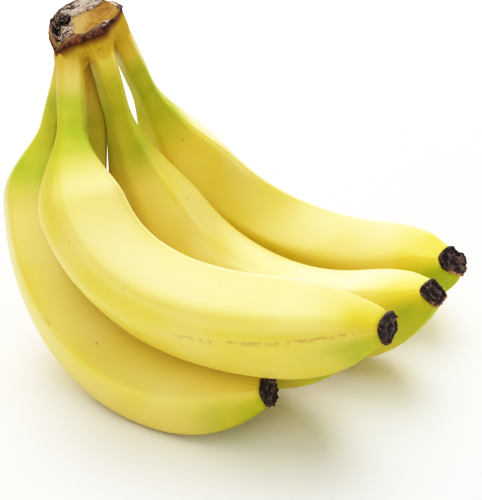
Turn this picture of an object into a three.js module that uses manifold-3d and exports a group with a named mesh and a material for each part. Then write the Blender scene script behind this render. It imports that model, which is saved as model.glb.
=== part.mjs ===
// A hand of five bananas on one woody crown, lying on a flat surface.
// Millimetres, +Z up. The origin is under the middle of the hand, on the surface.
//
// Each banana is one closed skin round a curved spine: a slim stem, a neck that widens,
// a five-ridged body and a blunt tip. The dried blossom end is a piece of its own on the tip.
// The crown is the cut, woody piece that all five stems grew from.

import * as THREE from 'three';
import { mergeVertices } from 'three/addons/utils/BufferGeometryUtils.js';
import Module from 'manifold-3d';

// ---------------------------------------------------------------- driving dimensions

const TOUCH_GAP = 0.3; // between pieces that grew together
const SURFACE_Z = 0; // what the hand lies on

const SIDES_PER_FACE = 4; // a banana's skin has five long faces with a ridge between each two
const FACE_SHARPNESS = 8; // higher makes the ridges sharper
const FACETING = 0.75; // 0 is round, 1 is fully five-sided
const RIDGE_REACH = 1.18; // radius of a fully five-sided section's corners, as a share of the radius
const NECK_LEAD = 6; // the neck starts to widen this far before the stem's end
const TIP_TAPER = 46; // length over which the body closes to the tip
const TIP_END = 16; // the last stretch, where the tip rounds in fastest
const TIP_BLUNTNESS = 2.6; // higher keeps the body full for longer
const BEND_STATIONS = [0, 0.22, 0.45, 0.72, 1]; // shares of the length where the bend is given
const SPINE_STEP = 0.5;

// root: where the stem leaves the crown.
// heading, drop and roll turn the banana: heading round +Z, drop below the horizon, roll of its bend.
// bend: how fast the spine turns at each bend station, in thousandths of a radian per millimetre.
// ridges: where each ridge stands at the stem and at the tip, in degrees from the inside of the bend.
const BANANAS = {
  front_low: {
    root: [-66.7, 35.2, 118.0], heading: 73.0, drop: 115.7, roll: -103.4,
    length: 201.6, stem: 35.4, neck: 29.5, girth: 16.1, stemRadius: 4.5, tipRadius: 5.5,
    bend: [-12.9, 12.2, 13.0, 14.9, 4.4],
    ridges: [[38, 20], [110, 92], [182, 164], [254, 236], [326, 308]],
  },
  front_top: {
    root: [-64.7, 26.7, 123.2], heading: -81.7, drop: 45.5, roll: 71.0,
    length: 199.2, stem: 35.9, neck: 38.4, girth: 18.0, stemRadius: 5.5, tipRadius: 5.4,
    bend: [-6.8, 7.8, 17.5, 6.6, 1.8],
    ridges: [[40, 4], [118, 82], [168, 104], [236, 190], [318, 276]],
  },
  middle: {
    root: [-53.6, 25.9, 126.2], heading: 19.0, drop: 75.5, roll: -49.1,
    length: 220.5, stem: 36.2, neck: 57.9, girth: 17.5, stemRadius: 5.1, tipRadius: 5.4,
    bend: [-5.9, 7.3, 16.7, 13.7, 4.0],
    ridges: [[4, 32], [76, 56], [148, 135], [220, 215], [292, 300]],
  },
  back: {
    root: [-48.3, 36.8, 128.3], heading: 42.3, drop: 62.0, roll: -74.2,
    length: 224.8, stem: 40.4, neck: 57.0, girth: 17.8, stemRadius: 5.0, tipRadius: 5.8,
    bend: [-7.2, 5.0, 15.5, 15.2, 5.3],
    ridges: [[4, -58], [76, 20], [148, 66], [220, 146], [292, 226]],
  },
  under: {
    root: [-57.5, 40.3, 123.3], heading: 91.1, drop: 99.8, roll: -129.6,
    length: 227.6, stem: 56.5, neck: 73.5, girth: 14.9, stemRadius: 4.9, tipRadius: 5.5,
    bend: [4.5, -7.5, 35.2, -1.9, 11.7],
    ridges: [[0, 0], [72, 72], [144, 144], [216, 216], [288, 288]],
  },
};

// The dried blossom end, as shares of the tip's radius: how far out, and how wide.
const BLOSSOM_PROFILE = [
  [0.0, 0.86],
  [0.18, 1.04],
  [0.42, 1.08],
  [0.62, 0.94],
  [0.74, 0.62],
  [0.66, 0.34],
];
const BLOSSOM_CENTRE = 0.86;
const BLOSSOM_WRINKLE = 0.06;

// The crown is a short oval bar with a sloping cut on top.
const CROWN_CENTRE = [-59.9, 32.1, 133.5]; // middle of the cut
const CROWN_LEAN = [-0.34, -0.1, 1]; // direction that the cut faces
const CROWN_HEADING = 38; // of the long way of the bar, in degrees
const CROWN_HALF_LENGTH = 15.5;
const CROWN_HALF_WIDTH = 12;
const CROWN_SIDES = 36;
// Depth below the cut, and share of the full width there.
const CROWN_PROFILE = [
  [-0.4, 0.5],
  [0.0, 0.84],
  [1.2, 0.98],
  [3.4, 1.0],
  [6.0, 0.95],
  [8.4, 0.84],
];
const CROWN_UNDERSIDE = 9.0;
const CROWN_SWELL = 0.6; // the cut stands this much higher in its middle
const CROWN_LUMPS = [
  { count: 3, rise: 0.03, phase: 0.6 },
  { count: 7, rise: 0.025, phase: 0 },
];
const COLLAR_SIDES = 16;
const COLLAR_REACH = 7; // up into the crown
const COLLAR_LAP = 1.5; // down round the top of the stem
const COLLAR_WALL = 1.2;
// The collar's rings: how far along the stem from its root, and the wall there.
const COLLAR_STATIONS = [
  [COLLAR_LAP, COLLAR_WALL * 0.6],
  [-TOUCH_GAP, COLLAR_WALL],
  [-COLLAR_REACH * 0.5, COLLAR_WALL * 1.4],
  [-COLLAR_REACH, COLLAR_WALL * 0.8],
];
const SOCKET_DISTANCES = [-TOUCH_GAP, 0, 6, 12, 18, 24]; // rings of the hollow that a stem stands in

const PEEL_YELLOW = 0xe6cf5c;
const WOODY_TAN = 0x9c7a3c;
const DRY_BROWN = 0x3a2a22;

// ---------------------------------------------------------------- solids from rings

const wasm = await Module();
wasm.setup();

// A closed skin through rings of points, with a fan to a centre point at each end.
// The rings turn anticlockwise seen from the far end.
function skin(startCentre, rings, endCentre) {
  const sides = rings[0].length;
  const points = [startCentre, ...rings.flat(), endCentre];
  const last = points.length - 1;
  const at = (ring, side) => 1 + ring * sides + (side % sides);
  const faces = [];
  for (let side = 0; side < sides; side += 1) {
    faces.push(0, at(0, side + 1), at(0, side));
    for (let ring = 0; ring < rings.length - 1; ring += 1) {
      faces.push(at(ring, side), at(ring, side + 1), at(ring + 1, side + 1));
      faces.push(at(ring, side), at(ring + 1, side + 1), at(ring + 1, side));
    }
    faces.push(last, at(rings.length - 1, side), at(rings.length - 1, side + 1));
  }
  const geometry = new THREE.BufferGeometry();
  geometry.setAttribute(
    'position',
    new THREE.Float32BufferAttribute(points.flatMap((p) => [p.x, p.y, p.z]), 3),
  );
  geometry.setIndex(faces);
  return geometry;
}

function toSolid(geometry) {
  const bare = new THREE.BufferGeometry();
  bare.setAttribute('position', geometry.getAttribute('position'));
  bare.setIndex(geometry.index);
  const merged = mergeVertices(bare, 1e-4);
  return new wasm.Manifold(
    new wasm.Mesh({
      numProp: 3,
      vertProperties: merged.attributes.position.array,
      triVerts: new Uint32Array(merged.index.array),
    }),
  );
}

function toGeometry(solid) {
  const mesh = solid.getMesh();
  const geometry = new THREE.BufferGeometry();
  geometry.setAttribute('position', new THREE.BufferAttribute(mesh.vertProperties, 3));
  geometry.setIndex(new THREE.BufferAttribute(mesh.triVerts, 1));
  return geometry;
}

// ---------------------------------------------------------------- one banana

// Straight-line value between given stations.
function between(stations, values, at) {
  let i = 0;
  while (i < stations.length - 2 && at > stations[i + 1]) i += 1;
  const share = (at - stations[i]) / (stations[i + 1] - stations[i]);
  return values[i] + share * (values[i + 1] - values[i]);
}

// The two directions that hold the spine's plane: along the stem, and towards the inside of the bend.
function spinePlane(banana) {
  const heading = THREE.MathUtils.degToRad(banana.heading);
  const drop = THREE.MathUtils.degToRad(banana.drop);
  const roll = THREE.MathUtils.degToRad(banana.roll);
  const along = new THREE.Vector3(
    Math.cos(heading) * Math.cos(drop),
    Math.sin(heading) * Math.cos(drop),
    -Math.sin(drop),
  );
  const side = new THREE.Vector3(-Math.sin(heading), Math.cos(heading), 0);
  const over = new THREE.Vector3().crossVectors(along, side);
  const inward = over.multiplyScalar(Math.cos(roll)).addScaledVector(side, Math.sin(roll));
  return { along, inward, across: new THREE.Vector3().crossVectors(along, inward) };
}

// The spine as closely spaced places, each with its point, its turn and its distance from the root.
function spine(banana) {
  const { along, inward } = spinePlane(banana);
  const root = new THREE.Vector3(...banana.root);
  const steps = Math.round(banana.length / SPINE_STEP);
  const step = banana.length / steps;
  const bendAt = (share) => between(BEND_STATIONS, banana.bend, share) / 1000;
  const places = [];
  let turn = 0;
  let ahead = 0;
  let aside = 0;
  for (let i = 0; i <= steps; i += 1) {
    const point = root.clone().addScaledVector(along, ahead).addScaledVector(inward, aside);
    places.push({ point, turn, distance: i * step });
    const halfTurn = turn + 0.5 * step * bendAt((i + 0.25) / steps);
    ahead += step * Math.cos(halfTurn);
    aside += step * Math.sin(halfTurn);
    turn += step * bendAt((i + 0.5) / steps);
  }
  return places;
}

function smooth(share) {
  const t = THREE.MathUtils.clamp(share, 0, 1);
  return t * t * (3 - 2 * t);
}

// Radius at a distance from the root: the stem, the widening neck, the body and the closing tip.
function radiusAt(banana, distance) {
  const widening = smooth((distance - banana.stem + NECK_LEAD) / banana.neck);
  const body = banana.stemRadius + (banana.girth - banana.stemRadius) * widening;
  const closing = Math.max(0, (distance - (banana.length - TIP_TAPER)) / TIP_TAPER);
  return banana.tipRadius + (body - banana.tipRadius) * (1 - closing ** TIP_BLUNTNESS);
}

// The ridges' angles at a share of the length, with the first one again at the end, one turn on.
function ridgeAngles(banana, lengthShare) {
  const angles = banana.ridges.map(([atStem, atTip]) => {
    return THREE.MathUtils.degToRad(atStem + (atTip - atStem) * lengthShare);
  });
  return [...angles, angles[0] + 2 * Math.PI];
}

// A rounded five-sided section: the angle of each of its points, and their reach as shares of the radius.
function section(banana, lengthShare) {
  const ridges = ridgeAngles(banana, lengthShare);
  const faces = ridges.slice(0, -1).map((ridge, i) => {
    const half = (ridges[i + 1] - ridge) / 2;
    return { start: ridge, half, looks: ridge + half, depth: RIDGE_REACH * Math.cos(half) };
  });
  const shareAt = (angle) => {
    const pressures = faces.map((face) => Math.max(0, Math.cos(angle - face.looks) / face.depth));
    const sum = pressures.reduce((total, pressure) => total + pressure ** FACE_SHARPNESS, 0);
    return 1 + FACETING * (sum ** (-1 / FACE_SHARPNESS) - 1);
  };
  return faces.flatMap((face) =>
    Array.from({ length: SIDES_PER_FACE }, (_, side) => {
      const angle = face.start + (2 * face.half * side) / SIDES_PER_FACE;
      return { angle, share: shareAt(angle) };
    }),
  );
}

// Distances of the rings: close together where the shape changes, wide apart along the body.
function ringDistances(banana) {
  const shoulder = banana.stem - NECK_LEAD;
  const fullBody = shoulder + banana.neck;
  const tip = banana.length - TIP_TAPER;
  const stretches = [
    [0, shoulder, 5],
    [shoulder, fullBody, 9],
    [fullBody, tip, 11],
    [tip, banana.length - TIP_END, 5],
    [banana.length - TIP_END, banana.length, 6],
  ];
  const distances = [0];
  for (const [from, to, count] of stretches) {
    for (let i = 1; i <= count; i += 1) distances.push(from + ((to - from) * i) / count);
  }
  return distances;
}

// The banana's skin over a stretch of its spine, grown outwards by an allowance.
function bananaSkin(banana, distances, allowance = 0) {
  const { along, inward, across } = spinePlane(banana);
  const places = spine(banana);
  const step = banana.length / (places.length - 1);
  const centres = [];
  const rings = distances.map((distance) => {
    const clamped = THREE.MathUtils.clamp(distance, 0, banana.length);
    const place = places[Math.round(clamped / step)];
    const tangent = along.clone().multiplyScalar(Math.cos(place.turn));
    tangent.addScaledVector(inward, Math.sin(place.turn));
    const inside = along.clone().multiplyScalar(-Math.sin(place.turn));
    inside.addScaledVector(inward, Math.cos(place.turn));
    const centre = place.point.clone().addScaledVector(tangent, distance - clamped);
    centres.push(centre);
    const radius = radiusAt(banana, clamped);
    return section(banana, clamped / banana.length).map(({ angle, share }) => {
      const reach = radius * share + allowance;
      const point = centre.clone().addScaledVector(inside, reach * Math.cos(angle));
      return point.addScaledVector(across, reach * Math.sin(angle));
    });
  });
  return skin(centres[0], rings, centres[centres.length - 1]);
}

// The weight of the hand presses a small flat spot where a skin meets the surface.
function restOnSurface(geometry) {
  const position = geometry.getAttribute('position');
  for (let i = 0; i < position.count; i += 1) {
    position.setZ(i, Math.max(position.getZ(i), SURFACE_Z));
  }
  return geometry;
}

function bananaGeometry(banana) {
  return restOnSurface(bananaSkin(banana, ringDistances(banana)));
}

// ---------------------------------------------------------------- blossom end

// A wrinkled stub that starts one gap past the end of the skin and dips in the middle.
function blossomEndGeometry(banana) {
  const { along, inward, across } = spinePlane(banana);
  const place = spine(banana).at(-1);
  const tangent = along.clone().multiplyScalar(Math.cos(place.turn));
  tangent.addScaledVector(inward, Math.sin(place.turn));
  const inside = new THREE.Vector3().crossVectors(across, tangent);
  const start = place.point.clone().addScaledVector(tangent, TOUCH_GAP);
  const outward = (share) => start.clone().addScaledVector(tangent, share * banana.tipRadius);
  const outline = section(banana, 1);
  const rings = BLOSSOM_PROFILE.map(([out, wide]) =>
    outline.map(({ angle, share }, side) => {
      const wrinkle = side % 2 === 0 ? 1 : 1 - BLOSSOM_WRINKLE;
      const reach = banana.tipRadius * wide * share * wrinkle;
      const point = outward(out).addScaledVector(inside, reach * Math.cos(angle));
      return point.addScaledVector(across, reach * Math.sin(angle));
    }),
  );
  return skin(start.clone(), rings, outward(BLOSSOM_CENTRE));
}

// ---------------------------------------------------------------- crown

// The bar's outline isn't quite oval: a few shallow lumps drift round it with depth.
function crownLump(angle, depth) {
  const lumps = CROWN_LUMPS.map((lump) => lump.rise * Math.sin(lump.count * angle + lump.phase + depth));
  return 1 + lumps.reduce((sum, lump) => sum + lump, 0);
}

// The oval bar, from the cut on top down to its underside.
function crownBar() {
  const up = new THREE.Vector3(...CROWN_LEAN).normalize();
  const heading = THREE.MathUtils.degToRad(CROWN_HEADING);
  const long = new THREE.Vector3(Math.cos(heading), Math.sin(heading), 0);
  long.addScaledVector(up, -long.dot(up)).normalize();
  const wide = new THREE.Vector3().crossVectors(up, long);
  const centre = new THREE.Vector3(...CROWN_CENTRE);
  const below = (depth) => centre.clone().addScaledVector(up, -depth);
  const rings = CROWN_PROFILE.map(([depth, share]) =>
    Array.from({ length: CROWN_SIDES }, (_, side) => {
      const angle = (-2 * Math.PI * side) / CROWN_SIDES;
      const reach = share * crownLump(angle, depth);
      const point = below(depth).addScaledVector(long, CROWN_HALF_LENGTH * reach * Math.cos(angle));
      return point.addScaledVector(wide, CROWN_HALF_WIDTH * reach * Math.sin(angle));
    }),
  );
  return skin(below(-CROWN_SWELL), rings, below(CROWN_UNDERSIDE));
}

// The flare that runs from a stem's top up into the bar.
function crownCollar(banana) {
  const { along, inward, across } = spinePlane(banana);
  const root = new THREE.Vector3(...banana.root);
  const centreAt = (distance) => root.clone().addScaledVector(along, distance);
  const rings = COLLAR_STATIONS.map(([distance, wall]) =>
    Array.from({ length: COLLAR_SIDES }, (_, side) => {
      const angle = (-2 * Math.PI * side) / COLLAR_SIDES;
      const reach = banana.stemRadius + wall;
      const point = centreAt(distance).addScaledVector(inward, reach * Math.cos(angle));
      return point.addScaledVector(across, reach * Math.sin(angle));
    }),
  );
  return skin(centreAt(COLLAR_LAP), rings, centreAt(-COLLAR_REACH));
}

// The bar and its collars in one body, hollowed where the stems stand in them.
function crownGeometry() {
  let crown = toSolid(crownBar());
  for (const banana of Object.values(BANANAS)) crown = crown.add(toSolid(crownCollar(banana)));
  for (const banana of Object.values(BANANAS)) {
    const stemTop = bananaSkin(banana, SOCKET_DISTANCES, TOUCH_GAP);
    crown = crown.subtract(toSolid(stemTop));
  }
  const bodies = crown.decompose();
  bodies.sort((a, b) => b.volume() - a.volume());
  return toGeometry(bodies[0]);
}

// ---------------------------------------------------------------- the hand

const peel = new THREE.MeshStandardMaterial({ color: PEEL_YELLOW, roughness: 0.5, metalness: 0 });
const woody = new THREE.MeshStandardMaterial({ color: WOODY_TAN, roughness: 0.85, metalness: 0 });
const dried = new THREE.MeshStandardMaterial({ color: DRY_BROWN, roughness: 0.9, metalness: 0 });

function piece(name, geometry, material) {
  const mesh = new THREE.Mesh(geometry, material);
  mesh.name = name;
  geometry.computeVertexNormals();
  return mesh;
}

const hand = new THREE.Group();
hand.name = 'banana_hand';
hand.add(piece('crown', crownGeometry(), woody));
for (const [place, banana] of Object.entries(BANANAS)) {
  hand.add(piece(`banana_${place}`, bananaGeometry(banana), peel));
  hand.add(piece(`blossom_end_${place}`, blossomEndGeometry(banana), dried));
}

export default hand;
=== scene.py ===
"""A hand of five bananas on one woody crown, in a white studio.

Lengths on the hand are in millimetres and angles in degrees. MM turns the lengths into metres,
which the materials and the studio use. The surfaces are worked out as whole numpy arrays.
"""
import itertools

import bpy
import numpy as np
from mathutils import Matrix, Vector


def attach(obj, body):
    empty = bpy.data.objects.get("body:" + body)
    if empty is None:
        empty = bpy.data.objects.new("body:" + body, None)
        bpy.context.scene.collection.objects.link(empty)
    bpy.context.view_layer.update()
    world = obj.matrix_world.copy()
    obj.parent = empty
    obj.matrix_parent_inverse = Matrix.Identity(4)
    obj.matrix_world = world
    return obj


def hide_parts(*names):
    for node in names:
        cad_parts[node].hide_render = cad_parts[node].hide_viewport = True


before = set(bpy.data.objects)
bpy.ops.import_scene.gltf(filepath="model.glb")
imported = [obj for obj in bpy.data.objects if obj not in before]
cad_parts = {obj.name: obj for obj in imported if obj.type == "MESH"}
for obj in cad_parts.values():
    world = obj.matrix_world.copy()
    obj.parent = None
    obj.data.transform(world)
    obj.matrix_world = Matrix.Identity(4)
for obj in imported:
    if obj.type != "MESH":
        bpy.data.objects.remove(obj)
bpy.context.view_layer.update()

SCENE = bpy.context.scene
MM = 0.001

# ---- the bananas

FACE_SHARPNESS = 12.0  # higher makes sharper ridges
FACETING = 0.75  # 0 is round, 1 is fully five-sided
RIDGE_REACH = 1.18  # a fully five-sided ring's corners, as a share of the radius
SKIN_SHARE = 0.974  # of the nominal radius, to leave room for the unevenness
NECK_LEAD = 6.0
TIP_TAPER = 46.0
TIP_BLUNTNESS = 2.6
BEND_STATIONS = (0.0, 0.22, 0.45, 0.72, 1.0)

# root: where the stem leaves the crown. heading, drop and roll turn the banana.
# bend: thousandths of a radian per millimetre at each bend station.
# ridges: angles of each ridge at the stem and at the tip, from the inside of the bend.
# worn: which ridge is rubbed brown, and from which share of the length to which.
# seed: of the banana's own unevenness.
# ochre: how far down the stem its ochre has faded out.
# green: how far down the green over the shoulder starts to fade.
# lean: which side of the tip reaches further forward.
# stub, tan: length of the dried end as a share of the usual, and how pale its underside is.
BANANAS = {
    "front_low": dict(
        root=(-66.7, 35.2, 118.0), heading=73.0, drop=115.7, roll=-103.4,
        length=201.6, stem=35.4, neck=29.5, girth=16.1, stem_radius=4.5, tip_radius=5.5,
        bend=(-12.9, 12.2, 13.0, 14.9, 4.4),
        ridges=((38, 20), (110, 92), (182, 164), (254, 236), (326, 308)),
        worn=(1, 0.49, 0.52), seed=11, ochre=14, green=46,
        lean=(0, 0, 0), stub=1.0, tan=0.15,
    ),
    "front_top": dict(
        root=(-64.7, 26.7, 123.2), heading=-81.7, drop=45.5, roll=71.0,
        length=199.2, stem=35.9, neck=38.4, girth=18.0, stem_radius=5.5, tip_radius=5.4,
        bend=(-6.8, 7.8, 17.5, 6.6, 1.8),
        ridges=((40, 4), (118, 82), (168, 104), (236, 190), (318, 276)),
        worn=(2, 0.61, 0.95), seed=23, ochre=29, green=43,
        lean=(0, 0.35, 0), stub=1.2, tan=0.1,
    ),
    "middle": dict(
        root=(-53.6, 25.9, 126.2), heading=19.0, drop=75.5, roll=-49.1,
        length=220.5, stem=36.2, neck=57.9, girth=17.5, stem_radius=5.1, tip_radius=5.4,
        bend=(-5.9, 7.3, 16.7, 13.7, 4.0),
        ridges=((4, 32), (76, 56), (148, 135), (220, 215), (292, 300)),
        worn=(2, 0.5, 0.7), seed=37, ochre=9, green=44,
        lean=(0, 0, -0.15), stub=1.0, tan=0.8,
    ),
    "back": dict(
        root=(-48.3, 36.8, 128.3), heading=42.3, drop=62.0, roll=-74.2,
        length=224.8, stem=40.4, neck=57.0, girth=17.8, stem_radius=5.0, tip_radius=5.8,
        bend=(-7.2, 5.0, 15.5, 15.2, 5.3),
        ridges=((4, -58), (76, 20), (148, 66), (220, 146), (292, 226)),
        worn=(3, 0.4, 0.62), seed=53, ochre=24, green=50,
        lean=(0, 0, -0.40), stub=0.9, tan=1.0,
    ),
    "under": dict(
        root=(-57.5, 40.3, 123.3), heading=91.1, drop=99.8, roll=-129.6,
        length=227.6, stem=56.5, neck=73.5, girth=14.9, stem_radius=4.9, tip_radius=5.5,
        bend=(4.5, -7.5, 35.2, -1.9, 11.7),
        ridges=((0, 0), (72, 72), (144, 144), (216, 216), (288, 288)),
        worn=(1, 0.35, 0.5), seed=71, ochre=62, green=40,
        lean=(0, 0, 0), stub=1.0, tan=0.3,
    ),
}


# ---- arithmetic

def smooth(share):
    """0 below 0, 1 above 1, and 3t^2 - 2t^3 between."""
    t = np.clip(share, 0.0, 1.0)
    return t * t * (3.0 - 2.0 * t)


def step(value, start, width):
    """0 up to the start and 1 from there on by the width, smooth between."""
    return smooth((value - start) / width)


def between(value, rising, falling):
    """1 between two smooth steps and 0 outside them. Each step is its start and its width."""
    return step(value, *rising) * (1.0 - step(value, *falling))


def bump(x, centre, width):
    """A bell of height 1 at the centre: e to the minus half the squared distance in widths."""
    return np.exp(-0.5 * ((x - centre) / width) ** 2)


def unit(v):
    return v / np.linalg.norm(v, axis=-1, keepdims=True)


def round_ring(angles, first, second):
    """Directions round a ring: the cosine times the first way plus the sine times the second."""
    return np.cos(angles)[..., None] * first + np.sin(angles)[..., None] * second


LATTICE = 32


def lattice_noise(points, cell, seed, octaves):
    """Smooth random heights from -1 to 1: seeded values on a cubic lattice, blended between its
    corners. Each further octave has half the cell and half the height of the one before."""
    total = np.zeros(points.shape[:-1])
    reach = 0.0
    for octave in range(octaves):
        values = np.random.default_rng(seed + octave).uniform(-1, 1, (LATTICE,) * 3)
        scaled = points * (2.0 ** octave / np.asarray(cell, float)) + 7.3 * octave
        base = np.floor(scaled).astype(int)
        part = smooth(scaled - base)
        height = 0.5 ** octave
        for corner in itertools.product((0, 1), repeat=3):
            i, j, k = np.moveaxis((base + corner) % LATTICE, -1, 0)
            weight = np.prod(np.where(corner, part, 1.0 - part), axis=-1)
            total += height * weight * values[i, j, k]
        reach += height
    return total / reach


# ---- meshes from grids

def with_poles(values):
    """Each skin's values in one row, then the means of its first and of its last ring."""
    flat = values.reshape(len(values), -1, *values.shape[3:])
    return np.concatenate([flat, values[:, [0, -1]].mean(axis=2)], axis=1)


def grid_mesh(name, grids, marks):
    """Closed skins in one mesh, from grids of points: skins by rows by columns. Every row is a ring,
    anticlockwise seen from the last row, and fans close the first and the last row round their
    middles. marks are numbers by point, kept as attributes."""
    skins, rows, columns, _ = grids.shape
    ring_points = rows * columns
    points = with_poles(grids)
    number = np.arange(ring_points).reshape(rows, columns)
    after = np.roll(number, -1, axis=1)
    quads = np.stack([number[:-1], after[:-1], after[1:], number[1:]], axis=-1).reshape(-1, 4)
    pole = np.full(columns, ring_points)
    fans = np.concatenate([
        np.stack([pole, after[0], number[0]], axis=-1),
        np.stack([pole + 1, number[-1], after[-1]], axis=-1),
    ])
    start = (np.arange(skins) * (ring_points + 2))[:, None]
    corners = np.concatenate([quads.ravel() + start, fans.ravel() + start], axis=1).ravel()
    sizes = np.tile(np.concatenate([np.full(len(quads), 4), np.full(len(fans), 3)]), skins)
    mesh = bpy.data.meshes.new(name)
    mesh.vertices.add(skins * (ring_points + 2))
    mesh.vertices.foreach_set("co", (points * MM).astype(np.float32).ravel())
    mesh.loops.add(len(corners))
    mesh.loops.foreach_set("vertex_index", corners.astype(np.int32))
    mesh.polygons.add(len(sizes))
    mesh.polygons.foreach_set("loop_start", (np.cumsum(sizes) - sizes).astype(np.int32))
    mesh.polygons.foreach_set("loop_total", sizes.astype(np.int32))
    mesh.polygons.foreach_set("use_smooth", np.ones(len(sizes), bool))
    mesh.update(calc_edges=True)
    for mark, values in marks.items():
        values = with_poles(np.broadcast_to(values, grids.shape[:3]))
        attribute = mesh.attributes.new(mark, "FLOAT", "POINT")
        attribute.data.foreach_set("value", values.astype(np.float32).ravel())
    piece = bpy.data.objects.new(name, mesh)
    SCENE.collection.objects.link(piece)
    return piece


def closed_mesh(name, grid, marks):
    return grid_mesh(name, grid[None], {mark: np.asarray(v)[None] for mark, v in marks.items()})


# ---- one banana

def bend_plane(banana):
    """Directions that hold the spine: along the stem, towards the inside of the bend, and across."""
    heading, drop, roll = np.radians([banana["heading"], banana["drop"], banana["roll"]])
    along = np.array([np.cos(heading) * np.cos(drop), np.sin(heading) * np.cos(drop), -np.sin(drop)])
    side = np.array([-np.sin(heading), np.cos(heading), 0.0])
    inward = np.cos(roll) * np.cross(along, side) + np.sin(roll) * side
    return along, inward, np.cross(along, inward)


def spine(banana, distances):
    """Points and directions of the spine at distances from the root. The rate of turn runs straight
    between the bend stations, the turn is its running sum, and the place is the running sum of the
    forward direction. Before the root and past the tip the spine is straight."""
    along, inward, across = bend_plane(banana)
    length = banana["length"]
    fine = np.linspace(0.0, length, 2001)
    step = fine[1]
    rate = np.interp(fine / length, BEND_STATIONS, banana["bend"]) / 1000.0

    def running(values):
        return np.concatenate([[0.0], np.cumsum((values[1:] + values[:-1]) * step / 2.0)])

    turn = running(rate)
    ahead, aside = running(np.cos(turn)), running(np.sin(turn))
    inside = np.clip(distances, 0.0, length)
    turn = np.interp(inside, fine, turn)[:, None]
    forward = np.cos(turn) * along + np.sin(turn) * inward
    towards = np.cos(turn) * inward - np.sin(turn) * along
    points = np.array(banana["root"]) + np.interp(inside, fine, ahead)[:, None] * along
    points = points + np.interp(inside, fine, aside)[:, None] * inward
    return points + (distances - inside)[:, None] * forward, forward, towards, across


def radius_at(banana, distances):
    """Stem, then a neck that widens smoothly into the body, then a body that closes to the tip."""
    widening = smooth((distances - banana["stem"] + NECK_LEAD) / banana["neck"])
    body = banana["stem_radius"] + (banana["girth"] - banana["stem_radius"]) * widening
    closing = np.clip((distances - banana["length"] + TIP_TAPER) / TIP_TAPER, 0.0, 1.0)
    return banana["tip_radius"] + (body - banana["tip_radius"]) * (1.0 - closing ** TIP_BLUNTNESS)


def section(banana, shares, columns):
    """Rounded five-sided rings, one for each share of the length, with so many columns a face. A
    face's pressure on a direction is the cosine of the angle between them, over the face's depth.
    One over the n-th root of the sum of the pressures' n-th powers is the rounded ring's reach."""
    at_stem, at_tip = np.radians(banana["ridges"]).T
    ridges = at_stem + (at_tip - at_stem) * shares[:, None]
    half = (np.roll(ridges, -1, axis=1) - ridges) % (2.0 * np.pi) / 2.0
    looks, depth = ridges + half, RIDGE_REACH * np.cos(half)
    step = np.arange(columns) / columns
    angles = (ridges[..., None] + 2.0 * half[..., None] * step).reshape(len(shares), -1)
    pressure = np.cos(angles[..., None] - looks[:, None, :]) / depth[:, None, :]
    joined = (np.maximum(pressure, 0.0) ** FACE_SHARPNESS).sum(axis=-1)
    reach = 1.0 + FACETING * (joined ** (-1.0 / FACE_SHARPNESS) - 1.0)
    return angles, reach


OCHRE_START = -1.0
GREEN_START = 0.3  # of the ochre's run
GREEN_RISE = 18.0
GREEN_FADE = 20.0


def stem_colours(banana, from_root):
    """Shares of ochre and of green: ochre from the crown down, then green over the shoulder."""
    ochre = 1.0 - step(from_root, OCHRE_START, banana["ochre"])
    rising = (GREEN_START * banana["ochre"], GREEN_RISE)
    return ochre, between(from_root, rising, (banana["green"], GREEN_FADE))


LEAN_LENGTH = 14.0  # the slant of a tip fades out over this length


def tip_lean(banana, side):
    """How far forward a place beside the spine is carried where the tip is cut on a slant."""
    return side @ np.array(banana["lean"])


STEM_INSET = 1.4  # the stem runs on this far into the crown
STEM_END = 60.0  # the rings stand closer above this distance from the root
TAPER_START = 20.0  # and closer again from this distance before the tip
LIP_START = 3.0
STEM_RINGS, BODY_RINGS, TAPER_RINGS, LIP_RINGS = 76, 100, 24, 18
LIP_DEPTH = 1.8  # the skin turns in over this length at the tip
LIP_TURN = 0.8
FACE_COLUMNS = 24
UNEVENNESS = 0.006
UNEVEN_CELL = 24.0
PUCKER_COUNT = 23
PUCKER_RISE = 0.10
PUCKER_PLACE, PUCKER_WIDTH = 1.2, 1.6  # from the tip
FLUTE_COUNT = 7
FLUTE_RISE = 0.05
FLUTE_TWIST = 0.05
FLUTE_GROWTH, FLUTE_FADE = (4.0, 10.0), (30.0, 26.0)  # steps down the stem
TIP_GREEN_FADE = (3.0, 36.0)  # a step back from the tip
LOOKS_UP, LOOKS_TURN = 0.55, 0.7  # low is 0 for a ray that rises this much, then grows
WORN_FADE = 0.06  # share of the length over which the rubbing fades out
WORN_WIDTH = 0.75  # columns


def skin_rows(banana):
    """Distances of the rings, closer together at the stem's top and at the tip's lip."""
    length = banana["length"]
    return np.concatenate([
        np.linspace(-STEM_INSET, STEM_END, STEM_RINGS, endpoint=False),
        np.linspace(STEM_END, length - TAPER_START, BODY_RINGS, endpoint=False),
        np.linspace(length - TAPER_START, length - LIP_START, TAPER_RINGS, endpoint=False),
        np.linspace(length - LIP_START, length, LIP_RINGS),
    ])


def stem_flutes(angles, from_root):
    """Shallow flutes, a cosine round the stem that turns slowly down it."""
    waves = np.cos(FLUTE_COUNT * angles + FLUTE_TWIST * from_root)
    return between(from_root, FLUTE_GROWTH, FLUTE_FADE) * waves


def rubbing(banana, shares, columns):
    """Where the worn ridge is rubbed: a bell across the ridge times a stretch of the length."""
    ridge, worn_from, worn_to = banana["worn"]
    apart = np.abs(np.arange(columns) - ridge * FACE_COLUMNS)
    apart = np.minimum(apart, columns - apart)
    stretch = between(shares, (worn_from, WORN_FADE), (worn_to, WORN_FADE))
    return stretch[:, None] * bump(apart, 0.0, WORN_WIDTH)[None, :]


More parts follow.
